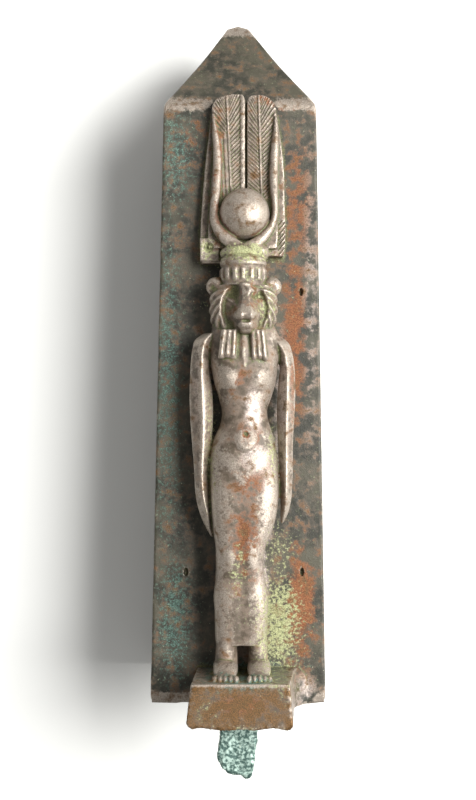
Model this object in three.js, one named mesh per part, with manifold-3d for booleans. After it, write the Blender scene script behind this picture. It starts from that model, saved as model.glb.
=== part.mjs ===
// A lion-headed goddess standing before a pointed obelisk, one bronze casting broken off at the tang.
// Millimetres. The casting lies on the obelisk's flat back: +X is to the right of someone facing the goddess,
// +Y runs from her feet to the obelisk's point, and +Z comes out of the back, towards that person.
// Shapes are drawn from the foot of the obelisk: x, y along it, and h, the height above its front face.

import * as THREE from "three";
import { mergeVertices } from "three/addons/utils/BufferGeometryUtils.js";
import Module from "manifold-3d";

const wasm = await Module();
wasm.setup();

// Driving dimensions
const HEIGHT = 210; // obelisk, foot to point
const SHOULDER = 181; // where its sides turn in to the point
const HALF_FOOT = 26.3; // half its width at the foot
const HALF_SHOULDER = 23.3; // half its width at the shoulder
const DRIFT = 0.0033; // how far its middle wanders to the right in each millimetre up
const DEPTH_FOOT = 50; // back to front at the foot
const FRONT_SLOPE = 0.0304; // how much the front face leans back in each millimetre up
const TIP = { half: 2.9, back: 21.5, front: 27.5 }; // the worn flat point
const HOLLOW_SLOPE = 0.7; // how far the slopes of the point are dished
const ARRIS = 0.9; // worn edges between the faces
const SHOULDER_WEAR = 0.9; // rounding of the shoulder
const FOOT_WAVE = { rise: 0.25, across: 7, out: 3 }; // the foot's edge wavers by this much, this often
const TANG_END = -17.4; // lowest point of the broken tang

const BLOCK = {
  top: { left: -13.2, right: 14.4, y: 11.7 },
  bottom: { left: -14.7, right: 15.5, y: -0.6 },
  back: { left: -12, right: 16.9, y: 10.9 },
  reach: 24, // how far its front stands out of the obelisk
  corner: 1.9, // rounding of the two lower front corners
  fillet: 6.4, // how far it spreads to the right where it meets the obelisk
  filletFade: 0.08, // the share of its reach over which that spread dies away
  rows: [0, 0.05, 0.14, 0.4, 1], // shares of its reach that have a row of points
};

// The broken tang: its sides from end to plinth (y from 0 to 1), and its torn end from left to right
const TANG_SIDES = [
  { y: 0, left: -4.6, right: 4 },
  { y: 0.15, left: -5.9, right: 4.6 },
  { y: 0.45, left: -5.3, right: 5.2 },
  { y: 0.8, left: -5.2, right: 6.1 },
  { y: 1, left: -6.1, right: 6.6 },
];
const TANG_TEAR = [
  { y: 0, low: -13.8 },
  { y: 0.2, low: -15.6 },
  { y: 0.6, low: -15.9 },
  { y: 0.8, low: TANG_END },
  { y: 1, low: -15.6 },
];
const TANG = { back: 7.4, frontEnd: 15.4, frontTop: 17.2, top: 2 };
const PILLAR = { x: 1.6, half: 3.4, from: 10, to: 128, h: 3.2 };

// Left edge, right edge, front and middle height of the body, from hem to shoulders
const BODY = [
  { y: 19.5, left: -6.4, right: 8, front: 12.6, middle: 7.6 },
  { y: 23, left: -6.7, right: 8.4, front: 13.2, middle: 7.8 },
  { y: 28, left: -6.8, right: 8.7, front: 13.7, middle: 8 },
  { y: 33.5, left: -7.1, right: 8.8, front: 14.2, middle: 8 },
  { y: 39, left: -6.6, right: 7.8, front: 14.4, middle: 8 },
  { y: 44, left: -6.5, right: 7.4, front: 15, middle: 8.2 },
  { y: 49, left: -6.7, right: 8.3, front: 15.4, middle: 8.4 },
  { y: 53, left: -7.2, right: 10, front: 15.6, middle: 8.5 },
  { y: 60, left: -7.8, right: 11.6, front: 16.1, middle: 8.5 },
  { y: 68, left: -8.1, right: 11.8, front: 15.9, middle: 8.5 },
  { y: 76, left: -7.9, right: 11.2, front: 15.3, middle: 8.6 },
  { y: 80, left: -6.9, right: 10.5, front: 14.9, middle: 8.6 },
  { y: 84, left: -5.1, right: 9.1, front: 14.3, middle: 8.6 },
  { y: 87.5, left: -4.8, right: 8.6, front: 14, middle: 8.6 },
  { y: 92, left: -5.8, right: 9.9, front: 14.3, middle: 8.5 },
  { y: 96, left: -7, right: 11, front: 14.7, middle: 8.4 },
  { y: 101, left: -7.9, right: 11.7, front: 14.5, middle: 8.2 },
  { y: 106, left: -8.1, right: 12.2, front: 13.9, middle: 7.8 },
  { y: 110, left: -7.9, right: 12, front: 13.2, middle: 7.4 },
  { y: 113.5, left: -7.6, right: 10.2, front: 12.4, middle: 7 },
];
const BODY_BACK = 6.6; // half the depth of the body behind its middle
// Powers that bend the round section towards a box: the legs are boxy, the torso is round
const SECTION = { legsAcross: 0.62, legsOut: 0.5, torso: 0.95, from: 60, to: 84 };

// Rises and dips of the body's front
const BODY_HILLS = [
  { x: -3.4, y: 97.4, rx: 2.9, ry: 3.3, rise: 2.1 }, // breasts
  { x: 6.3, y: 97.4, rx: 2.9, ry: 3.3, rise: 2.1 },
  { x: 2, y: 79.7, rx: 3, ry: 3, rise: 1.9 }, // belly
  { x: 2.3, y: 81.1, rx: 0.9, ry: 0.9, rise: -1.4 }, // navel
  { x: -2.8, y: 45, rx: 2, ry: 3, rise: 0.3 }, // knees
  { x: 4.2, y: 45, rx: 2, ry: 3, rise: 0.3 },
];
// The belly stands above the thighs by a low step that runs down from the hips to the middle
const GROIN = { x: 1.4, y: 65, slope: 1.27, rise: 0.6, blur: 2.6, from: 58, full: 64, fade: 72, to: 79 };
const LEGS = { x: 0.9, half: 1.6, depth: 0.45, from: 64, over: 10 }; // the valley between them

// Outer edge, inner edge, ridge and middle height of each arm, from fingertips to shoulder
const LEFT_ARM = [
  { y: 50.6, outer: -7.8, inner: -7.3, ridge: -7.5, middle: 8.6, thick: 0.7 },
  { y: 54, outer: -9.6, inner: -7.4, ridge: -8.4, middle: 8.8, thick: 1.6 },
  { y: 58, outer: -11.3, inner: -7.6, ridge: -9, middle: 9, thick: 2.4 },
  { y: 63, outer: -12.4, inner: -8.1, ridge: -10.1, middle: 9.1, thick: 2.6 },
  { y: 69, outer: -12.8, inner: -8.5, ridge: -10.6, middle: 9, thick: 2.3 },
  { y: 77, outer: -13.4, inner: -7.8, ridge: -10.3, middle: 8.8, thick: 2.6 },
  { y: 86, outer: -14.1, inner: -7.3, ridge: -10.2, middle: 8.5, thick: 3 },
  { y: 94, outer: -14.3, inner: -7.6, ridge: -10.5, middle: 8.2, thick: 3.1 },
  { y: 101, outer: -14, inner: -8.4, ridge: -10.6, middle: 7.8, thick: 3.2 },
  { y: 106, outer: -13.5, inner: -7.4, ridge: -10.3, middle: 7.4, thick: 3.4 },
  { y: 109, outer: -12.4, inner: -5.5, ridge: -9.4, middle: 7.1, thick: 3.2 },
  { y: 111, outer: -9.6, inner: -4.5, ridge: -7.2, middle: 6.9, thick: 2.4 },
];
const RIGHT_ARM = [
  { y: 54.6, outer: 13.2, inner: 12.4, ridge: 12.8, middle: 8.6, thick: 0.7 },
  { y: 57.5, outer: 14.6, inner: 12.4, ridge: 13.4, middle: 8.8, thick: 1.6 },
  { y: 61, outer: 15.5, inner: 12.4, ridge: 13.8, middle: 9, thick: 2.3 },
  { y: 66, outer: 15.9, inner: 12.3, ridge: 14, middle: 9.1, thick: 2.6 },
  { y: 72, outer: 16.1, inner: 12, ridge: 14, middle: 9, thick: 2.3 },
  { y: 80, outer: 16.2, inner: 11.6, ridge: 14, middle: 8.8, thick: 2.6 },
  { y: 88, outer: 16.7, inner: 11.4, ridge: 14.2, middle: 8.5, thick: 3 },
  { y: 95, outer: 16.9, inner: 11.8, ridge: 14.4, middle: 8.2, thick: 3.1 },
  { y: 101, outer: 16.6, inner: 12.2, ridge: 14.2, middle: 7.8, thick: 3.2 },
  { y: 105, outer: 16, inner: 11, ridge: 13.4, middle: 7.4, thick: 3.5 },
  { y: 108, outer: 14.8, inner: 8.5, ridge: 11.6, middle: 7.1, thick: 3.4 },
  { y: 110.4, outer: 11.5, inner: 7, ridge: 9.2, middle: 6.9, thick: 2.4 },
];
const ARM_RIDGE = 1.35; // power of the fall on either side of the ridge

const HEAD_X = 1.6;
// Lumps of the face: middle and radii, with how many points go round each and up it
const FACE = [
  { x: 1.8, y: 119.6, h: 9.6, rx: 7.2, ry: 7, rh: 5.6, around: 12, steps: 8 }, // brow and cheeks
  { x: 2.3, y: 114.4, h: 11.6, rx: 4.5, ry: 4.4, rh: 6.4, around: 12, steps: 8 }, // muzzle
  { x: 2.3, y: 119.4, h: 13.6, rx: 1.8, ry: 6, rh: 3.3, around: 8, steps: 7 }, // bridge of the nose
  { x: 2.3, y: 116, h: 17.1, rx: 2, ry: 1.7, rh: 2.1, around: 8, steps: 6 }, // nose pad
  { x: 0.5, y: 114.2, h: 15.2, rx: 1.9, ry: 1.9, rh: 2.5, around: 8, steps: 6 }, // upper lips
  { x: 4.2, y: 114.2, h: 15.2, rx: 1.9, ry: 1.9, rh: 2.5, around: 8, steps: 6 },
  { x: 2.3, y: 111.7, h: 14.5, rx: 2.3, ry: 1.6, rh: 3.1, around: 8, steps: 6 }, // chin
  { x: -2.4, y: 122.1, h: 13.6, rx: 1.4, ry: 0.9, rh: 1.1, around: 8, steps: 6 }, // eyes
  { x: 4.9, y: 122.5, h: 14, rx: 1.6, ry: 1, rh: 1.2, around: 8, steps: 6 },
  { x: -6.5, y: 124.3, h: 8, rx: 3, ry: 2.9, rh: 2.7, around: 8, steps: 6 }, // ears
  { x: 9.9, y: 124.3, h: 8, rx: 3, ry: 2.9, rh: 2.7, around: 8, steps: 6 },
];
const MANE = {
  y: 118.1, h: 7.6, halfWidth: 10, halfHeight: 8.1, boxy: 3, depth: 6.2,
  locks: 17, lock: 0.75, sweep: 2.2, // locks round the face, their depth, and how far they curl
};
const MODIUS = {
  x: 1.55, h: 8.6, foot: 124.3, top: 133.6, radius: 6.3, flare: 0.35,
  teeth: 16, tooth: 0.5, ring: 0.35, // the snakes' bodies, and the band above them
};
const DISK = { x: 1.92, y: 146.1, h: 6.8, radius: 7.5, height: 7.7, dome: 6.9 };
const CROWN_BASE = [
  { x: 1.6, y: 134.6, h: 6.9, rx: 6.8, ry: 3.6, rh: 5.1, around: 9, steps: 6 }, // crusted, under the horns
  { x: 6.4, y: 135, h: 5.4, rx: 2.8, ry: 2.8, rh: 4.4, around: 8, steps: 6 },
];
const KNOB = { left: -11.3, right: -5.7, foot: 131.5, top: 139, h: 5.7, bevel: 0.9 };
const KNOB_PIT = { x: -8.7, y: 136.3, radius: 1.6, depth: 0.9 };
const VANE = { x: 11.9, y: 134.4, pitch: 1.8, bars: 5, reach: 1.8, rise: 2.2 };

// Left and right edge of the plate behind the plumes, and the worn line of the plumes' tops
const PLATE = [
  { y: 138, left: -11.2, right: 14.1 },
  { y: 149, left: -10.8, right: 14 },
  { y: 160, left: -10, right: 13.8 },
  { y: 170, left: -8.9, right: 12.8 },
  { y: 178.2, left: -8.3, right: 11.6 },
];
const PLATE_FOOT = { left: -10.9, right: 13.4, leftY: 131.7, rightY: 133.9, step: 1.6 };
const PLATE_DROP = 2.1; // how far the plate lies below the plumes' face
const LEFT_TOP = [
  { x: -7, y: 180.8 },
  { x: -5, y: 182.1 },
  { x: -2, y: 182.8 },
  { x: 0.4, y: 182.9 },
  { x: 1.6, y: 182.4 },
];
const RIGHT_TOP = [
  { x: 3.3, y: 181.9 },
  { x: 5.6, y: 182.7 },
  { x: 8, y: 182.5 },
  { x: 9.8, y: 181.4 },
];
const PLUMES = {
  foot: 136,
  slotX: 2.45,
  slotHalf: 0.36,
  slotFoot: 154,
  slotTop: 180.6,
  inset: 2.2, // how far their outer edges keep inside the plate's, below the horns' tips
  insetTop: 172,
  faceFoot: { y: 133.2, h: 6.7 }, // the face leans forwards as it comes down
  faceTop: { y: 182.3, h: 3.4 },
};
// Foot and top of each shaft, and which way its own plume's outer edge lies
const SHAFTS = [
  { away: -1, footX: -2.2, topX: -3.2, outerFrom: 170 },
  { away: 1, footX: 6.9, topX: 6.3, outerFrom: 163 },
];
const SHAFT = { from: 152, to: 181.5 };
const BARB = {
  pitch: 1.35, from: 154.5, to: 178.5, // along the shaft
  inner: 2.6, outer: 2.9, rise: 2.5, // its reach to either side, and its rise
  width: 0.36, proud: 0.3, root: 0.4,
};
const FAN = { barbs: 5, rise: 0.45 }; // the last few barbs grow steeper one by one
const RIM = { x: 1.55, from: 154, to: 180 }; // smooth edge beside the slot

// Middle line, half width and height of each horn, from the crown to the tip
const LEFT_HORN = [
  { x: 1.2, y: 135.6, half: 1.5, h: 10.6 },
  { x: -1.9, y: 137.4, half: 1.8, h: 10.3 },
  { x: -4.7, y: 139.9, half: 1.8, h: 9.7 },
  { x: -6.7, y: 143.3, half: 1.4, h: 8.9 },
  { x: -7.1, y: 147.4, half: 1.2, h: 8.2 },
  { x: -6.5, y: 153.6, half: 1.3, h: 7.4 },
  { x: -6.2, y: 160, half: 1.3, h: 6.6 },
  { x: -6.3, y: 166, half: 1.2, h: 5.9 },
  { x: -6.9, y: 171.5, half: 0.9, h: 5.1 },
  { x: -7.5, y: 177.2, half: 0.35, h: 4.1 },
];
const RIGHT_HORN = [
  { x: 2, y: 135.4, half: 1.6, h: 10.6 },
  { x: 5.2, y: 137.2, half: 1.6, h: 10.3 },
  { x: 7.8, y: 139.5, half: 1.4, h: 9.7 },
  { x: 10.2, y: 143, half: 1, h: 8.9 },
  { x: 11, y: 147.4, half: 0.9, h: 8.2 },
  { x: 10.6, y: 154.4, half: 1.2, h: 7.4 },
  { x: 10.7, y: 160.5, half: 1.3, h: 6.6 },
  { x: 11, y: 166.5, half: 1.2, h: 5.9 },
  { x: 11.3, y: 172, half: 0.9, h: 5.1 },
  { x: 11.1, y: 177.4, half: 0.35, h: 4.1 },
];
const HORN = { front: 1.3, back: 5 }; // how thick it is before and behind its middle

const LAPPETS = [
  { left: -5.9, right: -0.6, foot: 102.8 },
  { left: 3.9, right: 8.7, foot: 102.3 },
];
const LAPPET = { top: 110.5, h: 12.9, thick: 2.2, strands: 3, gap: 0.1 };

const FEET = [
  { x: -3.6, ankle: -3.2, half: 3.8, ankleHalf: 3.1 },
  { x: 6.1, ankle: 5.7, half: 3.6, ankleHalf: 2.7 },
];
const FOOT = { sole: 11, heelRise: 4.2, toeRise: 1.6, heel: 2.5, toes: 20.8, narrow: 0.82, widen: 0.2 };
const ANKLE = { h: 8.4, top: 24, spread: 0.8, deeper: 1.2 };
const TOES = { count: 5, y: 12.1, h: 19.6, back: 0.4, shrink: 0.08, fat: 0.54, tall: 1.35, long: 2.1 };

// Pits left by the pins that held the casting's core, cut by bars of this depth
const PIN_PITS = [
  { x: -15.6, y: 39.3, half: 0.7, halfLong: 1.3 },
  { x: 19.2, y: 39.3, half: 0.65, halfLong: 1.3 },
  { x: 19.05, y: 123.5, half: 0.6, halfLong: 1 },
  { x: 0.15, y: 187, half: 0.5, halfLong: 0.9 },
];
const PIT_DEPTH = 2.2;

// Shallow strokes in a row across the plinth's front; they spell nothing
const STROKES = [
  { x: -11.4, y: 3.4, reach: 0.4, rise: 3.6 },
  { x: -9, y: 2.6, reach: -0.3, rise: 4.6 },
  { x: -7, y: 7.4, reach: 2.6, rise: 0.3 },
  { x: -6, y: 2.2, reach: 0.3, rise: 3.2 },
  { x: -2.6, y: 2.6, reach: 1.2, rise: 5 },
  { x: 1.8, y: 7.6, reach: 1.8, rise: -4.2 },
  { x: 5.6, y: 5, reach: 2.2, rise: 1.1 },
  { x: 9.2, y: 7.8, reach: 0.5, rise: -4.8 },
  { x: 11.6, y: 3, reach: 0.5, rise: 4.2 },
];
const STROKE = { radius: 0.32, deepen: 1.3 };

const BRONZE = new THREE.MeshStandardMaterial({ color: 0x4a4034, roughness: 0.5, metalness: 0.75 });

// Height of the obelisk's front face above its back, at y
const frontAt = (y) => DEPTH_FOOT - FRONT_SLOPE * y;
// A point given by its height above the front face
const seat = (x, y, h) => new THREE.Vector3(x, y, frontAt(y) + h);
const mix = THREE.MathUtils.lerp;
const { clamp, smoothstep } = THREE.MathUtils;
const softMin = (a, b, k) => (a + b - Math.hypot(a - b, k)) / 2;
// Bends a point of the unit circle towards a square
const boxed = (value, power) => Math.sign(value) * Math.abs(value) ** power;

// Reads a table of stations along y, smoothly between them
function between(table, y, key) {
  const last = table.length - 1;
  let i = 0;
  while (i < last - 1 && y > table[i + 1].y) i++;
  const slope = (j) => {
    const a = table[Math.max(j - 1, 0)];
    const b = table[Math.min(j + 1, last)];
    return (b[key] - a[key]) / (b.y - a.y);
  };
  const a = table[i];
  const b = table[i + 1];
  const gap = b.y - a.y;
  const t = Math.min(Math.max((y - a.y) / gap, 0), 1);
  const ease = t * t * (3 - 2 * t);
  const start = t * (1 - t) ** 2 * gap * slope(i);
  const end = t * t * (t - 1) * gap * slope(i + 1);
  return mix(a[key], b[key], ease) + start + end;
}

// A closed mesh becomes a solid that can be joined and cut
function solid(geometry) {
  const bare = new THREE.BufferGeometry();
  bare.setAttribute("position", geometry.attributes.position);
  if (geometry.index) bare.setIndex(geometry.index);
  const merged = mergeVertices(bare, 1e-4);
  return new wasm.Manifold(
    new wasm.Mesh({
      numProp: 3,
      vertProperties: Float32Array.from(merged.attributes.position.array),
      triVerts: Uint32Array.from(merged.index.array),
    }),
  );
}

// Moves each vertex of a geometry to where place() says
function warp(geometry, place) {
  const points = geometry.attributes.position;
  for (let i = 0; i < points.count; i++) {
    const at = place(points.getX(i), points.getY(i), points.getZ(i));
    points.setXYZ(i, at.x, at.y, at.z);
  }
  return solid(geometry);
}

// A column of rings: place(across, t, out) gets a point of the unit circle and t from 0 to 1 up the column
function column(around, steps, place) {
  return warp(new THREE.CylinderGeometry(1, 1, 1, around, steps), (x, y, z) => place(x, y + 0.5, z));
}

// A rounded lump about a middle given by x, y and h
function lump({ x, y, h, rx, ry, rh, around = 10, steps = 7 }) {
  const ball = new THREE.SphereGeometry(1, around, steps);
  return warp(ball, (a, b, c) => seat(x + a * rx, y + b * ry, h + c * rh));
}

function obelisk() {
  const levels = [0, 1, 90, 174, 177.5, 179.5, 181.5, 184, 189, 196, 203, 208.6, HEIGHT];
  const corner = 3; // points round each worn edge, less one
  const around = 4 * (corner + 1);
  const rise = HEIGHT - SHOULDER;
  return column(around, levels.length - 1, (across, t, out) => {
    const y = levels[Math.round(t * (levels.length - 1))];
    const up = (y - SHOULDER) / rise;
    const dish = HOLLOW_SLOPE * Math.sin(Math.PI * clamp(up, 0, 1));
    const sides = mix(HALF_FOOT, HALF_SHOULDER, y / SHOULDER);
    const slopes = mix(HALF_SHOULDER, TIP.half, up) - dish;
    const half = softMin(sides, slopes, SHOULDER_WEAR);
    const front = softMin(frontAt(y), mix(frontAt(SHOULDER), TIP.front, up) - dish, SHOULDER_WEAR);
    const back = Math.max(0, mix(0, TIP.back, up) + dish * Math.sign(Math.max(up, 0)));
    const middle = DRIFT * y * (1 - Math.max(up, 0));
    const swing = Math.sin(across * FOOT_WAVE.across + out * FOOT_WAVE.out);
    const wave = y === 0 ? FOOT_WAVE.rise * (1 + swing) : 0;
    if (Math.hypot(across, out) < 0.5) return new THREE.Vector3(middle, y + wave, (front + back) / 2);
    const turn = Math.round((Math.atan2(across, out) / (2 * Math.PI)) * around + around) % around;
    const quarter = Math.floor(turn / (corner + 1));
    const angle = ((turn % (corner + 1)) / corner + quarter) * (Math.PI / 2);
    const sideX = quarter < 2 ? 1 : -1;
    const sideZ = quarter === 0 || quarter === 3 ? 1 : -1;
    const halfDepth = (front - back) / 2;
    const x = sideX * (half - ARRIS) + ARRIS * Math.sin(angle);
    const z = sideZ * (halfDepth - ARRIS) + ARRIS * Math.cos(angle);
    return new THREE.Vector3(middle + x, y + wave, (front + back) / 2 + z);
  });
}

// The carving on the front of the body, added to its height
function bodyRelief(x, y) {
  let total = 0;
  for (const { x: cx, y: cy, rx, ry, rise } of BODY_HILLS) {
    total += rise * Math.exp(-(((x - cx) / rx) ** 2) - ((y - cy) / ry) ** 2);
  }
  const above = y - GROIN.y - GROIN.slope * Math.abs(x - GROIN.x);
  const here = smoothstep(y, GROIN.from, GROIN.full) * (1 - smoothstep(y, GROIN.fade, GROIN.to));
  const groin = GROIN.rise * smoothstep(above, -GROIN.blur, GROIN.blur) * here;
  const valley = LEGS.depth * smoothstep(LEGS.from - y, 0, LEGS.over);
  return total + groin - valley * Math.exp(-(((x - LEGS.x) / LEGS.half) ** 2));
}

// Heights of the body's rings: closer together over the belly and the chest
function bodyLevels() {
  const stretches = [
    { from: BODY[0].y, to: 62, step: 4.6 },
    { from: 62, to: 104, step: 1.8 },
    { from: 104, to: BODY[BODY.length - 1].y, step: 3 },
  ];
  const levels = [];
  for (const { from, to, step } of stretches) {
    for (let y = from; y < to; y += step) levels.push(y);
  }
  return levels;
}

function body() {
  const levels = bodyLevels();
  const crowd = 0.35; // more of the columns run down the front
  return column(24, levels.length - 1, (sine, t, cosine) => {
    const y = levels[Math.round(t * (levels.length - 1))];
    const angle = Math.atan2(sine, cosine);
    const reach = Math.hypot(sine, cosine);
    const finer = angle - crowd * Math.sin(angle);
    const legs = 1 - smoothstep(y, SECTION.from, SECTION.to);
    const across = reach * boxed(Math.sin(finer), mix(SECTION.torso, SECTION.legsAcross, legs));
    const out = reach * boxed(Math.cos(finer), mix(SECTION.torso, SECTION.legsOut, legs));
    const middle = between(BODY, y, "middle");
    const x = mix(between(BODY, y, "left"), between(BODY, y, "right"), (across + 1) / 2);
    if (out < 0) return seat(x, y, middle + out * BODY_BACK);
    const front = between(BODY, y, "front") - middle;
    return seat(x, y, middle + out * (front + bodyRelief(x, y)));
  });
}

// A flat-faced arm, with a ridge along its front where the two faces meet
function arm(table) {
  const foot = table[0].y;
  const top = table[table.length - 1].y;
  return column(8, 14, (across, t, out) => {
    const y = mix(foot, top, t);
    const outer = between(table, y, "outer");
    const inner = between(table, y, "inner");
    const ridge = between(table, y, "ridge");
    const thick = between(table, y, "thick");
    const [left, right] = [Math.min(outer, inner), Math.max(outer, inner)];
    const x = mix(left, right, (across + 1) / 2);
    const off = x < ridge ? (ridge - x) / (ridge - left) : (x - ridge) / (right - ridge);
    const rise = out > 0 ? 1 - clamp(off, 0, 1) ** ARM_RIDGE : out;
    return seat(x, y, between(table, y, "middle") + rise * thick);
  });
}

// The mane stands out round the face in curling locks
function mane() {
  const { y, h, halfWidth, halfHeight, boxy, depth, locks, lock, sweep } = MANE;
  const ball = new THREE.SphereGeometry(1, 2 * locks, 8).rotateX(Math.PI / 2);
  return warp(ball, (a, b, c) => {
    const rim = Math.hypot(a, b);
    const turn = Math.atan2(a, b) + (rim < 0.01 ? 0 : sweep / locks) * (1 - rim);
    const [across, up] = [Math.sin(turn), Math.cos(turn)];
    const side = (Math.abs(across) / halfWidth) ** boxy + (Math.abs(up) / halfHeight) ** boxy;
    const reach = side ** (-1 / boxy);
    const ridge = lock * Math.cos(Math.atan2(a, b) * locks) * smoothstep(rim, 0.3, 0.7);
    const out = reach * rim + ridge * 0.6;
    return seat(HEAD_X + across * out, y + up * out, h + c * depth + (c > 0 ? ridge : 0));
  });
}

function head() {
  return wasm.Manifold.union([mane(), ...FACE.map(lump)]);
}

// The wig's two lappets, three rounded strands each, and the plain stretch of chest between them
function lappets() {
  const strips = LAPPETS.map(({ left, right, foot }) => {
    const pitch = (right - left) / LAPPET.strands;
    const outline = new THREE.Shape();
    outline.moveTo(left, 0);
    outline.lineTo(right, 0);
    for (let i = LAPPET.strands; i > 0; i--) {
      const middle = left + (i - 0.5) * pitch;
      const round = pitch / 2;
      outline.absarc(middle, LAPPET.thick - round, round, LAPPET.gap, Math.PI - LAPPET.gap, false);
    }
    const depth = LAPPET.top - foot;
    const strip = new THREE.ExtrudeGeometry(outline, { depth, bevelEnabled: false, curveSegments: 4 });
    return warp(strip, (x, h, along) => seat(x, LAPPET.top - along, LAPPET.h + h));
  });
  return wasm.Manifold.union(strips);
}

// A low flaring ring of upright snakes, their bodies shown as teeth
function modius() {
  const { x, h, foot, top, radius, flare, teeth, tooth, ring } = MODIUS;
  const [toothFoot, toothTop, ringFoot] = [0.1, 0.6, 0.7]; // shares of its height
  return column(2 * teeth, 4, (across, t, out) => {
    const index = Math.round((Math.atan2(across, out) / (2 * Math.PI)) * 2 * teeth);
    const proud = t > toothFoot && t < toothTop && index % 2 === 0 ? tooth : 0;
    const reach = radius + flare * t + proud + (t > ringFoot ? ring : 0);
    return seat(x + across * reach, mix(foot, top, t), h + out * reach);
  });
}

function horn(table) {
  const path = new THREE.CatmullRomCurve3(table.map((p) => new THREE.Vector3(p.x, p.y, 0)));
  const last = table.length - 1;
  return column(8, 16, (across, t, out) => {
    const at = path.getPoint(t);
    const along = path.getTangent(t);
    const i = Math.min(Math.floor(t * last), last - 1);
    const part = t * last - i;
    const half = mix(table[i].half, table[i + 1].half, part);
    const crest = mix(table[i].h, table[i + 1].h, part);
    const depth = out > 0 ? HORN.front : HORN.back;
    const [x, y] = [at.x + along.y * across * half, at.y - along.x * across * half];
    return seat(x, y, crest - HORN.front + out * depth);
  });
}

// Height of the plumes' face at y
const plumeFace = (y) => {
  const { faceFoot: low, faceTop: high } = PLUMES;
  return mix(low.h, high.h, (y - low.y) / (high.y - low.y));
};

// A flat sheet with an outline, from inside the obelisk up to a height under the plumes' face
function sheet(points, drop) {
  const outline = new THREE.Shape(points.map(({ x, y }) => new THREE.Vector2(x, y)));
  const flat = new THREE.ExtrudeGeometry(outline, { depth: 1, bevelEnabled: false });
  return warp(flat, (x, y, up) => seat(x, y, up > 0.5 ? plumeFace(y) - drop : -1));
}

// The plate that spreads behind the plumes and horns
function plate() {
  const { left, right, leftY, rightY, step } = PLATE_FOOT;
  const { slotX, slotTop } = PLUMES;
  return sheet([
    { x: slotX - step, y: leftY },
    { x: slotX + step, y: rightY },
    { x: right, y: rightY },
    ...PLATE.map((row) => ({ x: row.right, y: row.y })),
    ...[...LEFT_TOP, { x: slotX, y: slotTop }, ...RIGHT_TOP].reverse(),
    ...PLATE.map((row) => ({ x: row.left, y: row.y })).reverse(),
    { x: left, y: leftY },
  ], PLATE_DROP);
}

// One plume, standing proud of the plate
function plume(side) {
  const { foot, slotX, slotHalf, slotFoot, slotTop, inset, insetTop } = PLUMES;
  const edge = side < 0 ? "left" : "right";
  const top = side < 0 ? [...LEFT_TOP] : [...RIGHT_TOP].reverse();
  return sheet([
    { x: slotX, y: foot },
    ...PLATE.map((row) => ({ x: row[edge] - side * (row.y < insetTop ? inset : 0), y: row.y })),
    ...top,
    { x: slotX + side * slotHalf, y: slotTop },
    { x: slotX + side * slotHalf, y: slotFoot },
    { x: slotX, y: slotFoot - slotHalf },
  ], 0);
}

// A thin ridge on the plumes' face or, with a drop, on the plate, from one point along reach and rise
function barb(x, y, reach, rise, drop = 0) {
  const length = Math.hypot(reach, rise);
  const angle = Math.atan2(rise, reach);
  const bar = new THREE.BoxGeometry(length, BARB.width, 1);
  return warp(bar, (along, wide, up) => {
    const a = x + Math.cos(angle) * (along + length / 2) - Math.sin(angle) * wide;
    const b = y + Math.sin(angle) * (along + length / 2) + Math.cos(angle) * wide;
    return seat(a, b, plumeFace(b) - drop + (up > 0 ? BARB.proud : -BARB.root));
  });
}

// Shafts, barbs and the smooth rim beside the slot
function plumage() {
  const parts = [barb(RIM.x, RIM.from, 0, RIM.to - RIM.from)];
  const { pitch, from, to, inner, outer, rise, width } = BARB;
  const count = Math.floor((to - from) / pitch);
  for (const { away, footX, topX, outerFrom } of SHAFTS) {
    parts.push(barb(footX, SHAFT.from, topX - footX, SHAFT.to - SHAFT.from));
    for (let n = 0; n < count; n++) {
      const y = from + n * pitch;
      const shaft = mix(footX, topX, (y - SHAFT.from) / (SHAFT.to - SHAFT.from));
      const steeper = rise + Math.max(0, n - count + FAN.barbs) * FAN.rise;
      parts.push(barb(shaft - away * width, y, -away * inner, steeper));
      if (y > outerFrom) parts.push(barb(shaft + away * width, y, away * outer, steeper));
    }
  }
  return wasm.Manifold.union(parts);
}

// The barbs at the plate's lower right, and the square knob at its lower left
function crownCorners() {
  const parts = [];
  for (let n = 0; n < VANE.bars; n++) {
    parts.push(barb(VANE.x, VANE.y + n * VANE.pitch, VANE.reach, VANE.rise, PLATE_DROP));
  }
  const { left, right, foot, top, h, bevel } = KNOB;
  const block = new THREE.BoxGeometry(1, 1, 1);
  parts.push(warp(block, (a, b, c) => {
    const y = b < 0 ? foot + (c > 0 ? bevel : 0) : top;
    return seat(a < 0 ? left : right, y, c < 0 ? -1 : h);
  }));
  return wasm.Manifold.union(parts);
}

function knobPit() {
  const { x, y, radius, depth } = KNOB_PIT;
  return lump({ x, y, h: KNOB.h, rx: radius, ry: radius, rh: depth, around: 8, steps: 6 });
}

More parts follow.
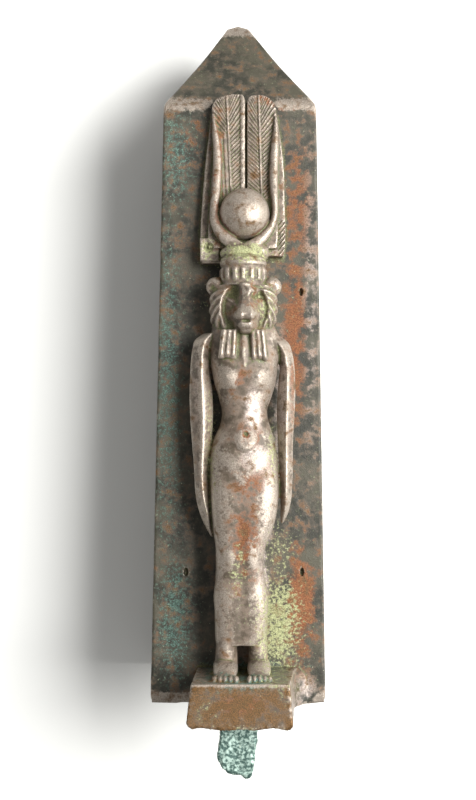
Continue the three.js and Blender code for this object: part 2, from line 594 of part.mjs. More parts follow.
function foot({ x, ankle, half, ankleHalf }) {
  const leg = column(10, 4, (across, t, out) => {
    const reach = ankleHalf + ANKLE.spread * (1 - t) ** 3;
    const y = mix(FOOT.sole, ANKLE.top, t);
    return seat(mix(x, ankle, t) + across * reach, y, ANKLE.h + out * (reach + ANKLE.deeper));
  });
  const instep = warp(new THREE.SphereGeometry(1, 9, 6), (a, b, c) => {
    const ahead = (c + 1) / 2;
    const rise = mix(FOOT.heelRise, FOOT.toeRise, ahead);
    const wide = half * (FOOT.narrow + FOOT.widen * ahead);
    return seat(x + a * wide, FOOT.sole + (b + 1) * rise, mix(FOOT.heel, FOOT.toes, ahead));
  });
  const parts = [leg, instep];
  const pitch = (2 * half) / TOES.count;
  for (let n = 0; n < TOES.count; n++) {
    const order = x < 0 ? TOES.count - 1 - n : n; // the big toes are the inner ones
    parts.push(lump({
      x: x - half + (n + 0.5) * pitch,
      y: TOES.y,
      h: TOES.h - TOES.back * order,
      rx: pitch * TOES.fat,
      ry: TOES.tall * (1 - TOES.shrink * order),
      rh: TOES.long,
      around: 6,
      steps: 4,
    }));
  }
  return wasm.Manifold.union(parts);
}

// The plinth: wider at its lower front edge, with a fillet at the right where it meets the obelisk
function block() {
  const { top, bottom, back, reach, corner, fillet, filletFade, rows } = BLOCK;
  const [columns, last] = [8, rows.length - 1];
  const box = new THREE.BoxGeometry(1, 1, 1, columns, 2, last);
  return warp(box, (a, b, c) => {
    const ahead = rows[Math.round((c + 0.5) * last)];
    const up = b + 0.5;
    const y = mix(bottom.y * ahead, mix(back.y, top.y, ahead), up);
    const left = mix(back.left, mix(bottom.left, top.left, up), ahead);
    const spread = fillet * Math.exp(-ahead / filletFade);
    const right = mix(back.right, mix(bottom.right, top.right, up), ahead) + spread;
    const outside = Math.max(0, Math.abs(2 * a) - (1 - 2 / columns)) * (columns / 2);
    const raised = up === 0 ? corner * outside ** 2 * ahead : 0;
    return seat(mix(left, right, a + 0.5), y + raised, mix(-1, reach, ahead));
  });
}

function strokes() {
  return wasm.Manifold.union(STROKES.map(({ x, y, reach, rise }) => {
    const length = Math.hypot(reach, rise);
    const angle = Math.atan2(rise, reach);
    const bar = new THREE.CylinderGeometry(STROKE.radius, STROKE.radius, length, 4);
    return warp(bar, (a, b, c) => {
      const along = b + length / 2;
      const strokeX = x + Math.cos(angle) * along + Math.sin(angle) * a;
      const strokeY = y + Math.sin(angle) * along - Math.cos(angle) * a;
      return seat(strokeX, strokeY, BLOCK.reach + c * STROKE.deepen);
    });
  }));
}

// The broken stump of the tang, torn at its end
function tang() {
  const { back, frontEnd, frontTop, top } = TANG;
  return warp(new THREE.BoxGeometry(1, 1, 1, 5, 4, 2), (a, b, c) => {
    const up = b + 0.5;
    const across = a + 0.5;
    const y = mix(between(TANG_TEAR, across, "low"), top, up);
    const x = mix(between(TANG_SIDES, up, "left"), between(TANG_SIDES, up, "right"), across);
    return seat(x, y, mix(back, mix(frontEnd, frontTop, up), c + 0.5));
  });
}

function backPillar() {
  const { x, half, from, to, h } = PILLAR;
  const web = new THREE.BoxGeometry(2 * half, 1, 1);
  return warp(web, (a, b, c) => seat(x + a, b < 0 ? from : to, c < 0 ? -1 : h));
}

function pinPit({ x, y, half, halfLong }) {
  const pin = new THREE.CylinderGeometry(1, 1, 2 * PIT_DEPTH, 6);
  return warp(pin, (a, b, c) => {
    const slope = y > SHOULDER ? ((y - SHOULDER) * (frontAt(SHOULDER) - TIP.front)) / (HEIGHT - SHOULDER) : 0;
    return seat(x + a * half, y - c * halfLong, b - slope);
  });
}

function statuette() {
  const cast = wasm.Manifold.union([
    obelisk(),
    backPillar(),
    body(),
    arm(LEFT_ARM),
    arm(RIGHT_ARM),
    head(),
    lappets(),
    modius(),
    ...CROWN_BASE.map(lump),
    plate(),
    plume(-1),
    plume(1),
    plumage(),
    crownCorners(),
    lump({ ...DISK, rx: DISK.radius, ry: DISK.height, rh: DISK.dome, around: 16, steps: 9 }),
    horn(LEFT_HORN),
    horn(RIGHT_HORN),
    ...FEET.map(foot),
    block(),
    tang(),
  ]);
  return cast.subtract(wasm.Manifold.union([...PIN_PITS.map(pinPit), knobPit(), strokes()]));
}

// The finished solid goes back to a geometry
function geometryOf(manifold) {
  const mesh = manifold.getMesh();
  const geometry = new THREE.BufferGeometry();
  geometry.setAttribute("position", new THREE.BufferAttribute(mesh.vertProperties, 3));
  geometry.setIndex(new THREE.BufferAttribute(mesh.triVerts, 1));
  geometry.computeVertexNormals();
  return geometry;
}

const piece = new THREE.Mesh(geometryOf(statuette()), BRONZE);
piece.name = "goddess_statuette";
// The origin is on the back, under the middle of the whole length
piece.position.set(0, -(HEIGHT + TANG_END) / 2, 0);

const group = new THREE.Group();
group.add(piece);
export default group;
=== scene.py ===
# A cast bronze goddess standing before a pointed obelisk, lying on its back on a pale table.
# Carving sizes are millimetres: x to the right of someone facing her, y up from the obelisk's foot, and
# h out of the obelisk's front face. The finished casting is in metres, in the frame's own place.

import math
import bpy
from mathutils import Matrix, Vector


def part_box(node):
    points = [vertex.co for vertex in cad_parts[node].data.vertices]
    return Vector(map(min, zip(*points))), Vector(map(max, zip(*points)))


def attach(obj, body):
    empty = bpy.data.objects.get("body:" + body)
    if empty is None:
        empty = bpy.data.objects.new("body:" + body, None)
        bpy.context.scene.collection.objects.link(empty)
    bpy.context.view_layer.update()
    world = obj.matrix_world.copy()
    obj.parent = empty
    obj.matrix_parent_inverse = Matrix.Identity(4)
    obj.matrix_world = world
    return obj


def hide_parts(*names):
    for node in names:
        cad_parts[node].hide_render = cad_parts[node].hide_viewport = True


bl_info = {
    "name": "Bronze goddess before an obelisk",
    "version": (1, 0, 0),
    "blender": (4, 5, 0),
    "location": "View3D > Sidebar > Statuette",
    "description": "Casts the lion-headed goddess, her crown, plinth and obelisk, and sets up the studio",
    "category": "Add Mesh",
}

import bmesh
import bpy
import numpy as np
from bpy.props import FloatProperty, FloatVectorProperty, PointerProperty
from mathutils import Matrix, Vector, noise

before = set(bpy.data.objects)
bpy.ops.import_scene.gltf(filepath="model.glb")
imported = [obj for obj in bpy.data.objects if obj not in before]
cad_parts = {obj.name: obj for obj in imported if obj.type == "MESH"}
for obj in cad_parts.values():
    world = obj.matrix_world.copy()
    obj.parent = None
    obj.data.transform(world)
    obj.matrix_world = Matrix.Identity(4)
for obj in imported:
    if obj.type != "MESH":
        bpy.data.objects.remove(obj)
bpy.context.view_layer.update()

NODE = "goddess_statuette"
LOW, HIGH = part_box(NODE)
MM = 0.001
TANG_DROP = 17.4  # how far the broken tang reaches below the obelisk's foot
HEIGHT = 210.0  # obelisk, foot to point
FOOT_Y = -(HEIGHT - TANG_DROP) / 2  # the foot's place on the frame's y axis
CAST_VOXEL = 0.25  # grain of the joined carving
FIGURE_FACES = 118000  # triangles kept for the carving

# Pin pits in the obelisk's front: x, y, half width, half height
PITS = (
    (0.15, 187.0, 0.5, 0.9),
    (0.35, 185.9, 0.35, 0.6),
    (-15.6, 39.3, 0.7, 1.3),
    (19.2, 39.3, 0.65, 1.3),
    (19.05, 123.55, 0.6, 1.2),
)


def hex_colour(text):
    """An sRGB hex colour as linear light, with alpha."""
    parts = [int(text[i : i + 2], 16) / 255 for i in (1, 3, 5)]
    return [c / 12.92 if c <= 0.04045 else ((c + 0.055) / 1.055) ** 2.4 for c in parts] + [1.0]


# Body stations from hem to neck: y, left edge, right edge, front, middle height
BODY = (
    (19.5, -6.4, 8.0, 12.6, 7.6),
    (23, -6.7, 8.4, 13.2, 7.8),
    (28, -6.8, 8.7, 13.7, 8),
    (33.5, -7.1, 8.8, 14.2, 8),
    (39, -6.6, 7.8, 14.4, 8),
    (44, -6.5, 7.4, 15, 8.2),
    (49, -6.7, 8.3, 15.4, 8.4),
    (53, -7.2, 10, 15.6, 8.5),
    (60, -7.8, 11.6, 16.1, 8.5),
    (68, -8.1, 11.8, 15.9, 8.5),
    (76, -7.9, 11.2, 15.3, 8.6),
    (80, -6.9, 10.5, 14.9, 8.6),
    (84, -5.1, 9.1, 14.3, 8.6),
    (87.5, -4.8, 8.6, 14, 8.6),
    (92, -5.8, 9.9, 14.3, 8.5),
    (96, -7, 11, 14.7, 8.4),
    (101, -7.9, 11.7, 14.5, 8.2),
    (106, -8.1, 12.2, 13.9, 7.8),
    (110, -7.9, 12, 13.2, 7.4),
    (113.5, -7.6, 10.2, 12.4, 7),
)
BODY_BACK = 6.6

# Arm stations from fingertips to shoulder: y, outer edge, inner edge, ridge, middle height, half depth
LEFT_ARM = (
    (50.6, -7.8, -7.3, -7.5, 8.6, 0.7),
    (54, -9.6, -7.4, -8.4, 8.8, 1.6),
    (58, -11.3, -7.6, -9, 9, 2.4),
    (63, -12.4, -8.1, -10.1, 9.1, 2.6),
    (69, -12.8, -8.5, -10.6, 9, 2.3),
    (77, -13.4, -7.8, -10.3, 8.8, 2.6),
    (86, -14.1, -7.3, -10.2, 8.5, 3),
    (94, -14.3, -7.6, -10.5, 8.2, 3.1),
    (101, -14, -8.4, -10.6, 7.8, 3.2),
    (106, -13.5, -7.4, -10.3, 7.4, 3.4),
    (109, -12.4, -5.5, -9.4, 7.1, 3.2),
    (111, -9.6, -4.5, -7.2, 6.9, 2.4),
)
RIGHT_ARM = (
    (54.6, 13.2, 12.4, 12.8, 8.6, 0.7),
    (57.5, 14.6, 12.4, 13.4, 8.8, 1.6),
    (61, 15.5, 12.4, 13.8, 9, 2.3),
    (66, 15.9, 12.3, 14, 9.1, 2.6),
    (72, 16.1, 12, 14, 9, 2.3),
    (80, 16.2, 11.6, 14, 8.8, 2.6),
    (88, 16.7, 11.4, 14.2, 8.5, 3),
    (95, 16.9, 11.8, 14.4, 8.2, 3.1),
    (101, 16.6, 12.2, 14.2, 7.8, 3.2),
    (105, 16, 11, 13.4, 7.4, 3.5),
    (108, 14.8, 8.5, 11.6, 7.1, 3.4),
    (110.4, 11.5, 7, 9.2, 6.9, 2.4),
)

# Horn stations from the crown to the tip: x, y, half width, height
LEFT_HORN = (
    (1.2, 135.6, 1.5, 10.6),
    (-1.9, 137.4, 1.8, 10.3),
    (-4.7, 139.9, 1.8, 9.7),
    (-6.7, 143.3, 1.4, 8.9),
    (-7.1, 147.4, 1.2, 8.2),
    (-6.5, 153.6, 1.3, 7.4),
    (-6.2, 160, 1.3, 6.6),
    (-6.3, 166, 1.2, 5.9),
    (-6.9, 171.5, 0.9, 5.1),
    (-7.5, 177.2, 0.35, 4.1),
)
RIGHT_HORN = (
    (2, 135.4, 1.6, 10.6),
    (5.2, 137.2, 1.6, 10.3),
    (7.8, 139.5, 1.4, 9.7),
    (10.2, 143, 1, 8.9),
    (11, 147.4, 0.9, 8.2),
    (10.6, 154.4, 1.2, 7.4),
    (10.7, 160.5, 1.3, 6.6),
    (11, 166.5, 1.2, 5.9),
    (11.3, 172, 0.9, 5.1),
    (11.1, 177.4, 0.35, 4.1),
)

# Plumes: y, left edge, right edge of the plate, and x, y of their worn top line
PLATE = (
    (131.6, -10.7, 13.2),
    (138, -11.2, 14.1),
    (149, -10.8, 14),
    (160, -10, 13.8),
    (170, -8.9, 12.8),
    (177, -8.2, 11.8),
    (183, -7.6, 11.4),
)
PLUME_TOP = (
    (-8.3, 178.2),
    (-7, 180.8),
    (-5, 182.1),
    (-2, 182.8),
    (0.4, 182.9),
    (1.6, 182.4),
    (2.4, 180.6),
    (3.3, 181.9),
    (5.6, 182.7),
    (8, 182.5),
    (9.8, 181.4),
    (11.6, 178.2),
)
SLOT_X, SLOT_HALF, SLOT_FOOT = 2.45, 0.36, 154.0
PLATE_DROP = 2.1  # how far the plate behind the plumes lies below their face
BARB_PITCH = 1.22

HEAD_X, HEAD_Y, HEAD_H = 1.6, 118.1, 7.6
MUZZLE_X = 2.2

# Ridge of the face from chin to brow: y, height, half width
FACE_RIDGE = (
    (109.2, 12.6, 0.8),
    (110.6, 15.8, 1.1),
    (111.8, 17.5, 1.3),
    (113.2, 17.9, 1.4),
    (114.2, 18.5, 1.5),
    (115.6, 19.2, 1.6),
    (117.2, 18.6, 1.5),
    (119, 17.3, 1.1),
    (122, 16.3, 1),
    (125.5, 15.6, 1.4),
)


def mix(a, b, t):
    return a + (b - a) * t


def soft_step(x, low, high):
    """0 below low, 1 above high, and a smooth rise between."""
    t = np.clip((x - low) / (high - low), 0, 1)
    return t * t * (3 - 2 * t)


def soft_min(a, b, wear):
    """The lower of two, with the edge where they meet worn round."""
    return (a + b - np.hypot(a - b, wear)) / 2


def soft_max(a, b, wear):
    return -soft_min(-a, -b, wear)


def hill(x, y, cx, cy, rx, ry):
    """A smooth rise of height 1 about a middle."""
    return np.exp(-(((x - cx) / rx) ** 2) - ((y - cy) / ry) ** 2)


def within(x, low, high, edge):
    """1 between low and high, fading to 0 over the edge's width on both sides."""
    return soft_step(x, low - edge, low + edge) * (1 - soft_step(x, high - edge, high + edge))


def read(stations, at, column, key=0):
    """A column of a table of stations, read smoothly between them along its key column."""
    rows = np.array(stations, float)
    places, values = rows[:, key], rows[:, column]
    slopes = np.gradient(values, places)
    i = np.clip(np.searchsorted(places, at) - 1, 0, len(places) - 2)
    gap = places[i + 1] - places[i]
    t = np.clip((at - places[i]) / gap, 0, 1)
    start = (1 + 2 * t) * (1 - t) ** 2 * values[i] + t * (1 - t) ** 2 * gap * slopes[i]
    end = t * t * (3 - 2 * t) * values[i + 1] + t * t * (t - 1) * gap * slopes[i + 1]
    return start + end


LATTICE = np.random.default_rng(7).random((32, 32, 32))


def grain(points, size, shift=0.0):
    """Smooth noise from -1 to 1 whose grains are about size across."""
    at = points / size + shift + 100.0
    low = np.floor(at).astype(int)
    t = at - low
    t = t * t * (3 - 2 * t)
    total = 0.0
    for corner in range(8):
        step = np.array([corner & 1, corner >> 1 & 1, corner >> 2 & 1])
        near = (low + step) % 32
        share = np.where(step, t, 1 - t).prod(axis=1)
        total = total + share * LATTICE[near[:, 0], near[:, 1], near[:, 2]]
    return total * 2 - 1


def add(bm, part):
    """Adds one closed form to the casting's forms."""
    mesh = bpy.data.meshes.new("form")
    part.to_mesh(mesh)
    part.free()
    bm.from_mesh(mesh)
    bpy.data.meshes.remove(mesh)


def move(part, x, y, h):
    for v, co in zip(part.verts, np.stack(np.broadcast_arrays(x, y, h), 1)):
        v.co = co


def shell(bm, around, steps, place):
    """A closed shell: a ball whose rings are moved by place(across, t, out) to x, y and h."""
    ball = bmesh.new()
    bmesh.ops.create_uvsphere(ball, u_segments=around, v_segments=steps, radius=1.0)
    points = np.array([v.co for v in ball.verts])
    reach = np.hypot(points[:, 0], points[:, 1])
    safe = np.where(reach > 1e-5, reach, 1)
    across = np.where(reach > 1e-5, points[:, 0] / safe, 0)
    out = np.where(reach > 1e-5, -points[:, 1] / safe, 0)
    t = 0.5 + np.arcsin(np.clip(points[:, 2], -1, 1)) / math.pi
    move(ball, *place(across, t, out))
    add(bm, ball)


def slab(bm, cuts, place):
    """A block whose points are moved by place(across, up, ahead), each from 0 to 1."""
    block = bmesh.new()
    bmesh.ops.create_cube(block, size=1.0)
    bmesh.ops.subdivide_edges(block, edges=block.edges[:], cuts=cuts, use_grid_fill=True)
    points = np.array([v.co for v in block.verts]) + 0.5
    move(block, *place(points[:, 0], points[:, 1], points[:, 2]))
    add(bm, block)


def lump(bm, x, y, h, rx, ry, rh):
    """A rounded lump about a middle."""
    ball = bmesh.new()
    place = Matrix.Translation((x, y, h)) @ Matrix.Diagonal((rx, ry, rh, 1))
    bmesh.ops.create_icosphere(ball, subdivisions=4, radius=1.0, matrix=place)
    add(bm, ball)


def rounded(value, power):
    """Bends a point of the unit circle towards a square (power under 1) or a diamond (over 1)."""
    return np.sign(value) * np.abs(value) ** power


def body_relief(x, y):
    """The carving on the front of the body."""
    breasts = 1.2 * (hill(x, y, -3.4, 97.4, 2.7, 3.2) + hill(x, y, 6.3, 97.4, 2.7, 3.2))
    crease = -0.25 * hill(x, y, -3.4, 93.6, 2.6, 0.7) - 0.25 * hill(x, y, 6.3, 93.6, 2.6, 0.7)
    nipples = 0.45 * (hill(x, y, -3.6, 97.9, 0.6, 0.6) + hill(x, y, 6, 97.9, 0.65, 0.65))
    roll = np.hypot(x - 2.0, y - 79.7)
    facing = soft_step((x - 2.0) * 0.8 - (y - 79.7) * 0.6, -3, 3)
    belly = 0.9 * (1 - soft_step(roll, mix(0.8, 2.9, facing), mix(5.2, 4.0, facing)))
    groove = -0.2 * np.exp(-(((roll - 4.1) / 0.4) ** 2)) * facing
    navel = -1.1 * hill(x, y, 2.3, 81.1, 0.6, 0.6)
    strip = 0.5 * within(y, 100.6, 111, 0.4) * (1 - soft_step(np.abs(x - 1.6), 0.2, 1.4 - 0.1 * (110 - y)))
    # the dress is drawn over the thighs: a low step runs down to the middle from each hip
    right = (x - 1.4) * -0.785 + (y - 65) * 0.62
    left = (x - 1.4) * 0.785 + (y - 65) * 0.62
    lower = np.minimum(right, left)
    groin = 0.55 * soft_step(lower, -1.6, 1.6) * soft_step(y, 58, 64) * (1 - soft_step(y, 72, 79))
    down = soft_step(64 - y, 0, 10)
    between = -0.3 * down * np.exp(-(((x - 0.9) / 1.5) ** 2))
    knees = 0.3 * (hill(x, y, -2.8, 45, 2, 3) + hill(x, y, 4.2, 45, 2, 3))
    return breasts + crease + nipples + belly + groove + navel + strip + groin + between + knees


def carve_body(bm):
    def place(across, t, out):
        y = mix(BODY[0][0], BODY[-1][0], t)
        legs = 1 - soft_step(y, 60, 84)
        across, out = rounded(across, mix(0.95, 0.62, legs)), rounded(out, mix(0.95, 0.5, legs))
        x = mix(read(BODY, y, 1), read(BODY, y, 2), (across + 1) / 2)
        middle = read(BODY, y, 4)
        front = read(BODY, y, 3) - middle + body_relief(x, y)
        return x, y, middle + np.where(out > 0, out * front, out * BODY_BACK)

    shell(bm, 96, 260, place)


def carve_arm(bm, stations):
    """An arm with a ridge down its front."""

    def place(across, t, out):
        y = mix(stations[0][0], stations[-1][0], t)
        outer, inner, ridge = (read(stations, y, n) for n in (1, 2, 3))
        left, right = np.minimum(outer, inner), np.maximum(outer, inner)
        x = mix(left, right, (across + 1) / 2)
        off = np.where(x < ridge, (ridge - x) / (ridge - left), (x - ridge) / (right - ridge))
        rise = 1 - np.clip(off, 0, 1) ** 1.35
        deep = read(stations, y, 5)
        return x, y, read(stations, y, 4) + np.where(out > 0, rise * deep, -np.abs(out) * deep)

    shell(bm, 40, 120, place)


def carve_horn(bm, stations):
    table = np.column_stack([np.arange(len(stations), dtype=float), stations])

    def place(across, t, out):
        at = t * (len(stations) - 1)
        x, y = read(table, at, 1), read(table, at, 2)
        ahead = np.stack([read(table, at + 0.05, 1) - x, read(table, at + 0.05, 2) - y])
        behind = np.stack([x - read(table, at - 0.05, 1), y - read(table, at - 0.05, 2)])
        along = np.where(at < 1, ahead, behind)
        along = along / np.maximum(np.hypot(*along), 1e-9)
        half, crest = read(table, at, 3), read(table, at, 4)
        lift = np.where(out > 0, rounded(out, 0.8) * 1.3, out * 5)
        return x + along[1] * across * half, y - along[0] * across * half, crest - 1.3 + lift

    shell(bm, 24, 120, place)


def face_height(x, y):
    """Front of the head: a narrow muzzle and nose between sloping cheeks and the mane."""
    off = np.abs(x - MUZZLE_X - 0.1)
    ridge = read(FACE_RIDGE, np.clip(y, 109.2, 125.5), 1)
    half = read(FACE_RIDGE, np.clip(y, 109.2, 125.5), 2)
    slope = mix(2.0, 1.6, soft_step(y, 117, 121))
    muzzle = ridge - slope * np.maximum(0, off - half) - 0.12 * off
    cheek = 13.9 - 0.07 * (x - 1.9) ** 2 - 0.015 * (y - 119) ** 2
    front = soft_max(muzzle, cheek, 0.7)
    pads = 1.1 * (hill(x, y, 0.2, 114.6, 1.5, 1.7) + hill(x, y, 4.6, 114.6, 1.5, 1.7))
    sockets = -1.9 * hill(x, y, -2.4, 122, 2.0, 1.5) - 1.5 * hill(x, y, 6.4, 121.9, 2.2, 1.6)
    eyes = 1.2 * hill(x, y, -2.5, 122, 1.2, 0.8) + 2.2 * hill(x, y, 4.9, 122.5, 1.6, 1.0)
    lid = -0.6 * hill(x, y, 5.2, 120.7, 1.5, 0.35) - 0.5 * hill(x, y, 4.4, 124.2, 1.4, 0.35)
    brow = 0.7 * np.exp(-(((y - 125) / 0.7) ** 2)) * within(x, -4.8, 8, 1)
    fold = np.exp(-(((y - 118.4 + 0.9 * (x + 0.6)) / 0.55) ** 2)) * within(x, -4.9, -0.6, 0.6)
    mouth = -1.9 * hill(x, y, 2.3, 113.7, 2.5, 0.38)
    chin = -0.5 * hill(x, y, 2.2, 111.2, 2.4, 0.3)
    return front + pads + sockets + eyes + lid + brow + 0.6 * fold + mouth + chin


def carve_head(bm):
    locks = 19

    def place(across, t, out):
        # t runs from the back of the head to the front of it
        rim = np.sin(t * math.pi)
        turn = np.arctan2(across, out)
        side = (np.abs(np.sin(turn)) / 10) ** 3 + (np.abs(np.cos(turn)) / 8.1) ** 3
        swirl = 1.5 * (1 - rim) * np.sign(np.sin(turn))
        lock = np.cos((turn + swirl) * locks) * soft_step(rim, 0.55, 0.85)
        radius = rim ** np.where(t > 0.5, 0.85, 0.5)
        reach = side ** (-1 / 3) * radius * (1 + 0.022 * lock)
        x, y = HEAD_X + np.sin(turn) * reach, HEAD_Y + np.cos(turn) * reach
        crest = 6.4 * np.clip(1 - radius**3, 0, 1) ** 0.45
        mane = HEAD_H + crest + 0.4 * lock * soft_step(crest, 0, 3)
        inside = 1 - soft_step(np.hypot((x - 1.9) / 7.2, (y - 117.4) / 8.6), 0.82, 1.0)
        front = mix(mane, face_height(x, y), inside)
        return x, y, np.where(t > 0.5, front, HEAD_H + np.cos(t * math.pi) * -6.2)

    shell(bm, 228, 90, place)
    for side in (-1, 1):
        lump(bm, HEAD_X + 0.1 + side * 8.2, 124.3, 8, 3, 2.9, 2.7)


def carve_lappets(bm):
    """Three ribs of hair down each side of the chest, and the strip of collar between them."""
    for left, right, foot in ((-5.9, -0.6, 102.8), (3.9, 8.7, 102.3)):
        pitch = (right - left) / 3
        for n in range(3):
            middle = left + (n + 0.5) * pitch

            def place(across, t, out, middle=middle, low=foot + 0.35 * (n % 2), half=pitch / 2):
                y = mix(low, 111.5, t)
                lean = 0.16 * (middle - 1.6) * t
                thick = 1.5 * soft_step(t, -0.1, 0.16)
                return middle - lean + across * half, y, 13.7 - 0.5 * t + rounded(out, 0.8) * thick

            shell(bm, 20, 40, place)


def carve_modius(bm):
    teeth = 16

    def place(across, t, out):
        y = mix(124.3, 133.6, t)
        turn = np.arctan2(across, out)
        tooth = 0.5 * soft_step(np.cos(turn * teeth), -0.3, 0.3)
        tooth = tooth * within(y, 125.9, 129.4, 0.5)
        ring = 0.35 * within(y, 130.3, 131.5, 0.3)
        reach = 6.3 + 0.35 * t + tooth + ring - 1.5 * soft_step(y, 132.2, 133.6)
        return 1.55 + across * reach, y, 8.6 + out * reach

    shell(bm, 160, 80, place)


def plume_face(y):
    """Height of the plumes' front, which leans forwards as it comes down."""
    return mix(6.7, 3.4, (y - 133.2) / (182.3 - 133.2))


def carve_crown(bm):
    def plate(a, up, w):
        y = mix(mix(131.7, 133.9, soft_step(a, 0.4, 0.6)), 182.8, up)
        x = mix(read(PLATE, y, 1), read(PLATE, y, 2), a)
        y = np.minimum(y, read(PLUME_TOP, np.clip(x, -8.3, 11.6), 1))
        return x, y, mix(-1, plume_face(y) - PLATE_DROP, w)

    slab(bm, 48, plate)
    for side in (-1, 1):

        def plume(a, up, w, side=side):
            y = mix(136, 183.2, up)
            edge = SLOT_X + side * SLOT_HALF * soft_step(y, SLOT_FOOT - 1, SLOT_FOOT)
            outer = read(PLATE, y, 1 if side < 0 else 2)
            inset = mix(2.4, 0.2, soft_step(y, 172, 179))
            x = mix(edge, outer - side * inset, a)
            y = np.minimum(y, read(PLUME_TOP, np.clip(x, -8.3, 11.6), 1))
            return x, y, mix(-0.5, plume_face(y), w)

        slab(bm, 60, plume)
    carve_horn(bm, LEFT_HORN)
    carve_horn(bm, RIGHT_HORN)
    carve_modius(bm)
    lump(bm, 1.92, 146.1, 6.8, 7.45, 7.7, 6.9)
    # the crusted lump that joins modius, horns and plumes
    lump(bm, 1.3, 134.2, 7.4, 6.6, 3, 4.6)
    lump(bm, 6.6, 134.6, 6, 2.6, 2.6, 4)

    def knob(a, up, w):
        low = 0.9 * w * (1 - up)
        return mix(-11.3, -5.7, a), mix(131.5, 139, up) + low, mix(-1, mix(5.2, 6.2, up), w)

    slab(bm, 8, knob)


def carve_foot(bm, x, ankle, half, ankle_half, big_toe):
    def leg(across, t, out):
        y = mix(10.6, 22, t)
        reach = ankle_half + 0.8 * (1 - t) ** 3
        return mix(x, ankle, t) + across * reach, y, 8.4 + rounded(out, 0.75) * (reach + 1.3)

    def instep(across, t, out):
        h = mix(2.5, 20.8, t)
        reach = np.sin(t * math.pi) ** 0.5
        wide = half * (0.84 + 0.2 * t) * reach
        tall = mix(4.6, 1.3, t**0.8)
        return x + across * wide, 11.0 + (out + 1) * tall * reach, h

    shell(bm, 24, 40, leg)
    shell(bm, 32, 40, instep)
    pitch = 2 * half / 5
    for n in range(5):
        order = 4 - n if big_toe > 0 else n
        size = 1 - 0.08 * order
        lump(bm, x - half + (n + 0.5) * pitch, 12, 20 - 0.35 * order, pitch * 0.52, 1.25 * size, 2)


def carve_block(bm):
    """The plinth, with a rounded foot and a fillet at its right where it meets the obelisk."""

    def place(a, up, w):
        drop = 0.35 * np.sin(a * 9 + 1) + 0.25 * np.sin(a * 17)
        y = mix(-0.9 * w + 0.8 * drop * w * w, mix(10.9, 11.7, w), up)
        left = mix(-12.0, mix(-14.7, -13.2, up), w)
        right = mix(16.9, mix(15.5, 14.4, up), w) + (6.4 - 4.6 * up**6) * np.exp(-w / 0.08)
        corner = 1.9 * np.clip(1 - up / 0.16, 0, 1) ** 2 * w
        x = mix(left + corner, right - 0.6 * corner, a)
        return x, y, mix(-1, 24, w)

    slab(bm, 40, place)


def carve_tang(bm):
    """The broken tang, rough and torn at its end."""

    def place(a, up, w):
        left = np.interp(up, (0, 0.12, 0.45, 0.75, 0.85, 1), (-4.6, -5.9, -5.3, -4.9, -5.9, -6.1))
        right = np.interp(up, (0, 0.2, 0.6, 1), (4.0, 4.7, 5.5, 6.6))
        low = np.interp(a, (0, 0.15, 0.45, 0.62, 0.8, 0.93, 1), (-13.8, -15.4, -15.9, -16, -17.4, -17, -15.6))
        return mix(left, right, a), mix(low, 2.0, up), mix(7.4, mix(15.4, 17.2, up), w)

    slab(bm, 30, place)


def new_object(bm, name):
    mesh = bpy.data.meshes.new(name)
    bm.to_mesh(mesh)
    bm.free()
    made = bpy.data.objects.new(name, mesh)
    bpy.context.scene.collection.objects.link(made)
    return made


def apply(made, kind, **values):
    """Adds a modifier with its settings and applies it."""
    modifier = made.modifiers.new(kind, kind)
    for key, value in values.items():
        setattr(modifier, key, value)
    with bpy.context.temp_override(object=made, active_object=made, selected_objects=[made]):
        bpy.ops.object.modifier_apply(modifier=modifier.name)


def vectors(mesh, source="vertices", field="co"):
    items = getattr(mesh, source)
    flat = np.empty(len(items) * 3, np.float32)
    items.foreach_get(field, flat)
    return flat.reshape(-1, 3).astype(float)


def put(mesh, points):
    mesh.vertices.foreach_set("co", points.astype(np.float32).ravel())
    mesh.update()


def feather_relief(x, y):
    """Quills, barbs and the smooth rim of the two plumes."""
    total = 0.0
    for side, quill in ((-1, mix(-2.2, -3.1, (y - 156) / 19)), (1, mix(6.9, 6.4, (y - 156) / 19))):
        off = x - quill
        near = (x < SLOT_X) if side < 0 else (x >= SLOT_X)
        smooth = within(x, 0.75, 2.4, 0.15) if side < 0 else 0
        bare = (off < -0.5) * (1 - soft_step(y, 169, 172)) if side < 0 else 0
        root = y
        for _ in range(8):
            root = y - np.abs(off) * (0.95 + 1.5 * soft_step(root, 166, 181))
        barbs = -0.22 + 0.22 * np.cos(root * 2 * math.pi / BARB_PITCH)
        barbs = barbs * soft_step(np.abs(off), 0.4, 0.6) * (1 - bare)
        quill_lines = -0.3 * np.exp(-(((np.abs(off) - 0.42) / 0.15) ** 2)) + 0.12 * within(off, -0.28, 0.28, 0.1)
        ribs = bare * 0.14 * np.cos((off + 0.2) * 2 * math.pi / 1.05)
        total = total + near * ((barbs + quill_lines + ribs) * (1 - smooth) + 0.15 * smooth)
    return total


def stroke(x, y, x0, y0, x1, y1, half):
    """1 along a line cut from one point to another, fading at its sides."""
    length = math.hypot(x1 - x0, y1 - y0)
    along = ((x - x0) * (x1 - x0) + (y - y0) * (y1 - y0)) / length
    off = np.hypot(x - x0 - (x1 - x0) * np.clip(along / length, 0, 1), y - y0 - (y1 - y0) * np.clip(along / length, 0, 1))
    return np.exp(-((off / half) ** 2))


